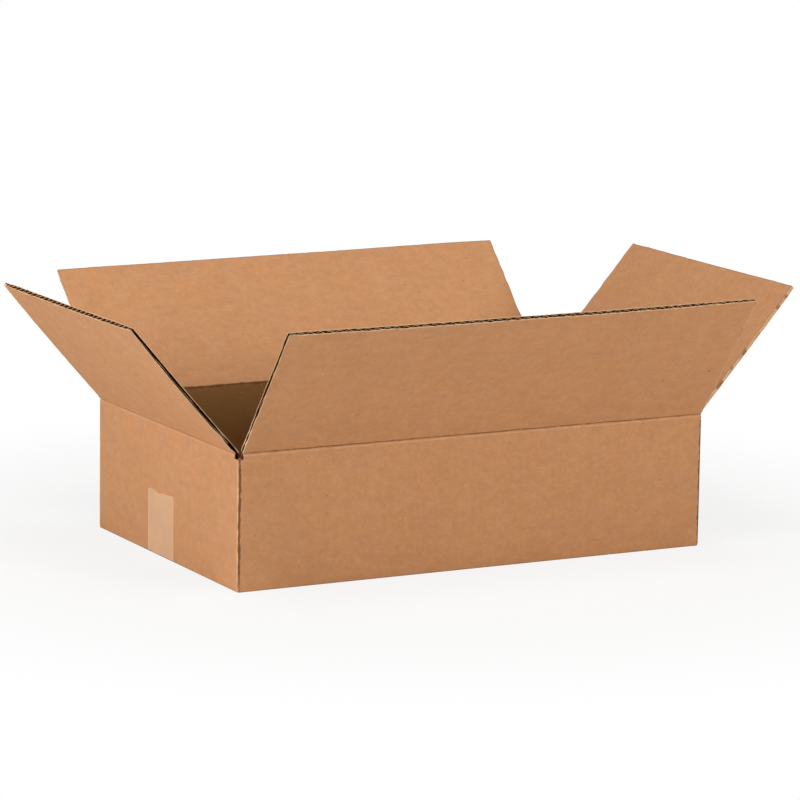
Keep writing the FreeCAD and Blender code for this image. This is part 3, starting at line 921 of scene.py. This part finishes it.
def build_lid(
    side, bead, groove_height, paper, blend_range, seed, sag, pinches, shut,
    pressed=(0, 0), twist=(0, 0), belly=0, taper=0, slot_fill=0, ragged=1,
):
    """Pinches (share, reach), shut (at foot, at tip), pressed and twist come for both sides."""
    turn, wall, half = SIDES[side]
    lean, inset, rise, length, (start, end) = lid_facts(side)
    rows, facing, fold_way = lid_profile(lean, inset, rise, length, bead, groove_height)
    ways = [row[0] for row in rows]
    total = ways[-1]
    middle, width = (start + end) / 2, end - start

    def near_side(column, reach):
        return max(0, 1 - min(column - start, end - column) / reach)

    def place(column, way, depth):
        number = min(len(ways) - 2, max(0, bisect_right(ways, way) - 1))
        share = (way - ways[number]) / (ways[number + 1] - ways[number])
        outer = rows[number][1].lerp(rows[number + 1][1], share)
        inner = rows[number][2].lerp(rows[number + 1][2], share)
        up_flap = max(0, (way - fold_way) / (total - fold_way))
        pinch = sum(
            amount * sqrt(max(0, 1 - abs(column - side_edge) / reach))
            for side_edge, (amount, reach) in zip((start, end), pinches)
        )
        press = pressed[0] if column < middle else pressed[1]
        press *= near_side(column, PRESS_REACH) * min(1, 4 * up_flap)
        share_in = 0.5 + (depth / BOARD - 0.5) * (1 - max(pinch * up_flap**6, press))
        point = outer.lerp(inner, share_in)
        end_share = (column - start) / width
        bow = sag * (1 - (2 * (column - middle) / width) ** 2) * up_flap**2
        bow += (twist[0] * (1 - end_share) + twist[1] * end_share) * up_flap**2
        bow += belly * sin(pi * min(1, up_flap)) + wobble(column, seed, *FACE_WANDER) * up_flap
        point = point + facing * bow
        layer = 1 if depth < BOARD / 2 else 2
        if up_flap > TIP_SHARE:
            jag = sum(wobble(column, seed + layer, *wander) for wander in TIP_WANDERS)
            to_tip = (up_flap - TIP_SHARE) / (1 - TIP_SHARE)
            point = point + Vector((sin(lean), cos(lean))) * ragged * jag * to_tip
        side_share = near_side(column, CUT_REACH)
        jag = wobble(way, seed + layer + 5, *SIDE_WANDER) * side_share * min(1, up_flap * 6)
        across = column + (jag if column > middle else -jag)
        across -= taper * up_flap * end_share
        at_slot = min(1, max(0, 1 - (way - fold_way) / (3 * MM)))
        across -= slot_fill * side_share * (1 - end_share) * at_slot
        if up_flap <= 0 and abs(across) > half - FOLD_RADIUS:
            past = min(FOLD_RADIUS, abs(across) - half + FOLD_RADIUS)
            point = point - Vector((FOLD_RADIUS - sqrt(FOLD_RADIUS**2 - past**2), 0)) * (1 - share_in)
        return Vector((across, -wall - point.x, CREASE + point.y))

    def liner_place(column, way, depth):
        """Brings the liners' inner sides together along a side edge that is pressed shut."""
        foot, tip = shut[0] if column < middle else shut[1]
        amount = foot + (tip - foot) * min(1, 1.6 * max(0, way - fold_way) / (total - fold_way))
        if amount > 0 and depth not in (0, BOARD):
            amount = min(MOST_CLOSED, max(0, amount + wobble(way, seed + 13, *CLOSE_WANDER)))
            depth += (BOARD / 2 - depth) * amount * near_side(column, CLOSE_REACH)
        return place(column, way, depth)

    columns = spread(start, end, 3 * MM)
    bm = new_board_mesh()
    add_liner(bm, columns, ways, liner_place, 0, LINER, FACE, FLUTE)
    add_liner(bm, columns, ways, liner_place, BOARD, BOARD - LINER, INNER, FLUTE)

    along, up, _, _ = carried_layers(bm)
    for face in bm.faces:
        places = [vert[along] for vert in face.verts]
        under_crease = max(vert[up] for vert in face.verts) < fold_way + 0.1 * MM
        on_pressed = pressed[0] and max(places) == min(columns)
        on_pressed = on_pressed or (pressed[1] and min(places) == max(columns))
        if face.material_index == CUT and under_crease:
            face.material_index = FLUTE
        elif face.material_index == CUT and on_pressed:
            face.material_index = FACE
        elif face.material_index == INNER and under_crease:
            face.material_index = HOLLOW

    def torn_place(column, way, depth):
        """Draws the medium back from the side edges, and a little from the free edge."""
        torn = TORN_BACK + sum(wobble(way, seed + 9, *wander) for wander in TEAR_WANDERS)
        torn = max(LEAST_TORN, torn)
        if column - start < TEAR_REACH:
            column = start + torn + (column - start) * (TEAR_REACH - torn) / TEAR_REACH
        elif end - column < TEAR_REACH:
            column = end - torn - (end - column) * (TEAR_REACH - torn) / TEAR_REACH
        tip_loss = max(0, wobble(column, seed + 3, *TIP_LOSS)) * max(0, 1 - (total - way) / (4 * MM))
        return place(column, way - tip_loss, depth)

    waves, pitch = flute_columns(start, end)
    wave_rows = [fold_way + 10 * MM + (total - fold_way - 16 * MM) * step / 15 for step in range(16)]
    wave_rows += [total - part for part in (3.5 * MM, 1.6 * MM, 0.7 * MM, 0)]
    add_medium(bm, waves, wave_rows, torn_place, flute_wave(start, pitch))
    bmesh.ops.rotate(bm, cent=(0, 0, 0), matrix=Matrix.Rotation(radians(turn), 3, "Z"), verts=bm.verts)
    piece = finish_board(
        bm, f"{side}_lid_flap", [paper, cut_edge, shaded_flute_paper, inner_paper, shaded_inside_paper],
        lambda column, way: min(column - start, end - column, total - way),
        lambda way: way - fold_way,
    )
    foot = Matrix.Rotation(radians(turn), 3, "Z") @ Vector((0, -wall, CREASE))
    low, high = blend_range
    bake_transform(piece, "box", f"{side}_lid", foot + Vector((0, 0, low)), foot + Vector((0, 0, high)))
    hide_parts(f"{side}_flap")
    return piece


# %% The four lid flaps
LONG_BLEND = (-0.9 * MM, 5.5 * MM)
SHORT_BLEND = (-1.5 * MM, 3.5 * MM)
build_lid(
    "front", LONG_BEAD, 1.3 * MM, long_lid_paper, LONG_BLEND, seed=1, sag=0.9 * MM,
    pinches=[(0.2, 12 * MM), (0.3, 60 * MM)], shut=[(0.3, -0.3), (0.45, 0.3)],
)
build_lid(
    "back", LONG_BEAD, 1.3 * MM, long_lid_paper, LONG_BLEND, seed=21, sag=0.5 * MM,
    pinches=[(0.3, 30 * MM), (0.3, 30 * MM)], twist=(-1.2 * MM, 2.0 * MM),
    ragged=0.4, shut=[(0.7, 0.7), (0.9, 0.9)], pressed=(0.3, 0.3),
)
build_lid(
    "left", SHORT_BEAD, 0.35 * MM, short_lid_paper, SHORT_BLEND, seed=41, sag=0.4 * MM,
    pinches=[(0.3, 20 * MM), (0.3, 14 * MM)], twist=(1.6 * MM, 0), belly=0.8 * MM,
    taper=6 * MM, slot_fill=2.2 * MM, shut=[(0.7, 0.7), (0.45, -0.6)],
)
build_lid(
    "right", SHORT_BEAD, 0.35 * MM, short_lid_paper, SHORT_BLEND, seed=61, sag=0.5 * MM,
    pinches=[(0.3, 25 * MM), (0.3, 25 * MM)], belly=0.6 * MM,
    ragged=0.4, shut=[(1.7, 1.7), (0.7, 0.7)], pressed=(0.25, 0.3),
)
print("lids:", ", ".join(sorted(JOINTS)))

# %% [markdown]
# ## The tape
# One strip of tape runs along the bottom seam, bends round both bottom edges and climbs the
# end walls. It is a grid too: its rows follow the strip's path and its columns cross it.
# The ends were torn off on a toothed cutter, so their rows get a fine zigzag on top of a
# slower wave with one deep notch.

# %% Tape
tape_low, tape_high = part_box("seam_tape")
TAPE = tape_high.x - HALF_LENGTH
tape_width = tape_high.y - tape_low.y
tape_rise = tape_high.z
bend_radius = FOLD_RADIUS + TAPE


def tape_path():
    """Points of the strip's outer face, from the left end over the bottom to the right."""
    side_x = HALF_LENGTH + TAPE
    right = [Vector((side_x, 0, tape_rise - part * MM)) for part in (0, 0.6, 1.5, 4, 12, 24, 36, 44)]
    for number in range(7):
        turn = pi / 2 * number / 6
        right.append(Vector((
            side_x - bend_radius + bend_radius * cos(turn), 0, bend_radius - bend_radius * sin(turn),
        )))
    floor = [Vector((side_x * part, 0, 0)) for part in (0.9, 0.6, 0.3)]
    half = right + floor
    mirrored = [Vector((-point.x, 0, point.z)) for point in half]
    return mirrored + [Vector((0, 0, 0))] + list(reversed(half))


# The torn end: (share of the width, millimetres above a straight cut).
TORN_END = [
    (0, -0.9), (0.13, 0.5), (0.3, -0.5), (0.41, -1.5), (0.55, -0.4), (0.8, 0.3), (0.93, 1.0), (1, 0.5),
]
CUTTER_TOOTH = 1.6 * MM
TORN_REACH = 5 * MM


def cut_end(column):
    """How far the torn end stands above or below a straight cut."""
    share = column / tape_width
    number = min(len(TORN_END) - 2, bisect_right([stop for stop, _ in TORN_END], share) - 1)
    (before, low), (after, high) = TORN_END[number], TORN_END[number + 1]
    tooth = abs((column / CUTTER_TOOTH) % 1 - 0.5) * 0.7
    return (low + (high - low) * (share - before) / (after - before) + tooth - 0.3) * MM


path = tape_path()
tape_columns = spread(0, tape_width, 0.8 * MM)
tape_mesh = new_board_mesh()
tape_rows = list(range(len(path)))
along, up, _, edge = carried_layers(tape_mesh)
tape_verts, tape_faces = add_grid(tape_mesh, tape_columns, tape_rows)
for vert in tape_verts:
    number = round(vert[up])
    point = path[number].copy()
    from_end = tape_rise - point.z
    if from_end < TORN_REACH:
        point.z += cut_end(vert[along]) * (1 - from_end / TORN_REACH)
    point.y = tape_high.y - vert[along]
    vert.co = point
    vert[edge] = min(vert[along], tape_width - vert[along])
bmesh.ops.recalc_face_normals(tape_mesh, faces=tape_mesh.faces)
if tape_mesh.faces[0].normal.x > 0:
    bmesh.ops.reverse_faces(tape_mesh, faces=tape_mesh.faces)
bmesh.ops.solidify(tape_mesh, geom=tape_mesh.faces[:], thickness=TAPE * 0.9)
bmesh.ops.recalc_face_normals(tape_mesh, faces=tape_mesh.faces)
tape = finish_piece(tape_mesh, "seam_tape_strip", [tape_film])
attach(tape, "box")
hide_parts("seam_tape")
tape_box = [max(vert.co[axis] for vert in tape.data.vertices) for axis in range(3)]
print("tape reaches", [round(value / MM, 2) for value in tape_box], "mm")

# %% [markdown]
# ## Floor, light and camera
# The floor is plain and nearly white. It catches the soft shadow near the box, and further
# out it fades into an even white for the camera. Four soft lamps and a weak sky light the
# box at a level at which a colour renders about as it is written.

# %% Floor
FLOOR_RADIUS = 14
FADE_START, FADE_END = 0.30, 0.60
NEAR_WHITE = 0.86
FLOOR_PAINT = (0.76, 0.76, 0.75, 1)
floor_mesh = bmesh.new()
bmesh.ops.create_circle(floor_mesh, cap_ends=True, segments=96, radius=FLOOR_RADIUS)
floor_data = bpy.data.meshes.new("floor")
floor_mesh.to_mesh(floor_data)
floor_mesh.free()
floor = bpy.data.objects.new("floor", floor_data)
bpy.context.scene.collection.objects.link(floor)
floor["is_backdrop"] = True


def seen_directly(tree):
    """1 for what the camera sees, also through glass or in a shine, and 0 for light."""
    path_node = add_node(tree, "LightPath")
    seen = math_node(
        tree, "MAXIMUM", path_node.outputs["Is Camera Ray"], path_node.outputs["Is Glossy Ray"]
    )
    return math_node(tree, "MAXIMUM", seen, path_node.outputs["Is Transmission Ray"])


floor_material = bpy.data.materials.new("pale_floor")
floor_material.use_nodes = True
floor_tree = floor_material.node_tree
floor_tree.nodes.clear()
floor_spot = add_node(floor_tree, "TexCoord").outputs["Object"]
from_middle = add_node(floor_tree, "VectorMath", {0: floor_spot}, operation="LENGTH").outputs["Value"]
fade = remap(floor_tree, from_middle, FADE_START, FADE_END, NEAR_WHITE, 1.0)
white_share = math_node(floor_tree, "MULTIPLY", fade, seen_directly(floor_tree))
paint = add_node(floor_tree, "BsdfDiffuse", {"Color": FLOOR_PAINT})
glow = add_node(floor_tree, "Emission", {"Color": (1, 1, 1, 1), "Strength": 1.0})
floor_mix = add_node(floor_tree, "MixShader", {0: white_share, 1: paint.outputs[0], 2: glow.outputs[0]})
floor_end = add_node(floor_tree, "OutputMaterial", {0: floor_mix.outputs[0]})
floor_data.materials.append(floor_material)

# %% World and lamps
SKY_STRENGTH = 0.04
world = bpy.data.worlds.new("studio")
bpy.context.scene.world = world
world.use_nodes = True
world_tree = world.node_tree
world_tree.nodes.clear()
sky = add_node(world_tree, "Background", {0: (1, 1, 1, 1), 1: SKY_STRENGTH})
backdrop = add_node(world_tree, "Background", {0: (1, 1, 1, 1), 1: 1.0})
world_mix = add_node(
    world_tree, "MixShader", {0: seen_directly(world_tree), 1: sky.outputs[0], 2: backdrop.outputs[0]}
)
add_node(world_tree, "OutputWorld", {0: world_mix.outputs[0]})

# Each lamp: its place, its width in metres, its power in watts and its tint.
LAMPS = {
    "front_softbox": ((1.5, -2.5, 0.96), 0.5, 40.0, (1.0, 0.97, 0.90)),
    "left_softbox": ((-2.9, -0.5, 0.45), 1.4, 56.0, (1.0, 1.0, 0.98)),
    "left_high_softbox": ((-2.4, -0.5, 1.6), 1.4, 9.0, (1.0, 1.0, 0.98)),
    "top_softbox": ((-0.3, -0.4, 3.0), 1.4, 45.0, (1.0, 0.99, 0.97)),
}
for label, (place, size, power, tint) in LAMPS.items():
    lamp_data = bpy.data.lights.new(label, "AREA")
    lamp_data.shape = "SQUARE"
    lamp_data.size = size
    lamp_data.energy = power
    lamp_data.color = tint
    lamp = bpy.data.objects.new(label, lamp_data)
    lamp.location = place
    aim = Vector((0, 0, 0.1)) - Vector(place)
    lamp.rotation_euler = aim.to_track_quat("-Z", "Y").to_euler()
    bpy.context.scene.collection.objects.link(lamp)
print("lamps:", ", ".join(LAMPS))

# %% [markdown]
# The camera stands where the photograph was taken: in front and to the left, a little above
# the box, a good way off, so that upright edges stay upright. Its place was worked out from
# the corners of the box in the photograph.

# %% Camera
CAMERA_TURN = radians(27.927)
CAMERA_PITCH = radians(10.525)
CAMERA_ROLL = radians(0.835)
CAMERA_DISTANCE = 3.5277
CAMERA_AIM = Vector((0, 0, 0.1128))
FOCAL_PIXELS = 4358.4
FRAME_PIXELS = 800
CENTRE_OFFSET = 0.83

back_way = Vector((
    -sin(CAMERA_TURN) * cos(CAMERA_PITCH), -cos(CAMERA_TURN) * cos(CAMERA_PITCH), sin(CAMERA_PITCH),
))
level = Vector((cos(CAMERA_TURN), -sin(CAMERA_TURN), 0))
upward = back_way.cross(level)
camera_x = level * cos(CAMERA_ROLL) + upward * sin(CAMERA_ROLL)
camera_y = upward * cos(CAMERA_ROLL) - level * sin(CAMERA_ROLL)
camera_data = bpy.data.cameras.new("photo_camera")
camera_data.sensor_width = 36
camera_data.sensor_fit = "HORIZONTAL"
camera_data.lens = FOCAL_PIXELS / FRAME_PIXELS * camera_data.sensor_width
camera_data.shift_x = CENTRE_OFFSET / FRAME_PIXELS
camera_data.clip_end = 100
camera = bpy.data.objects.new("photo_camera", camera_data)
turned = Matrix((camera_x, camera_y, back_way)).transposed().to_4x4()
camera.matrix_world = Matrix.Translation(CAMERA_AIM + back_way * CAMERA_DISTANCE) @ turned
bpy.context.scene.collection.objects.link(camera)
bpy.context.scene.camera = camera
bpy.context.scene.view_settings.view_transform = "Standard"
half_view = degrees(atan(0.5 * camera_data.sensor_width / camera_data.lens))
print(f"lens {camera_data.lens:.1f} mm, half view {half_view:.2f} degrees")

# %% [markdown]
# ## Sizes to compare
# The last cell prints two boxes: the imported model's and this scene's. They
# should differ by no more than the sag of the flaps.

# %% Print the two boxes and finish
scene_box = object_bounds()
sizes = {
    "cad": [list(cad_box[0]), list(cad_box[1])],
    "scene": [list(scene_box[0]), list(scene_box[1])],
}
for label, (low, high) in sizes.items():
    print(label, [round(value, 4) for value in low], [round(value, 4) for value in high])
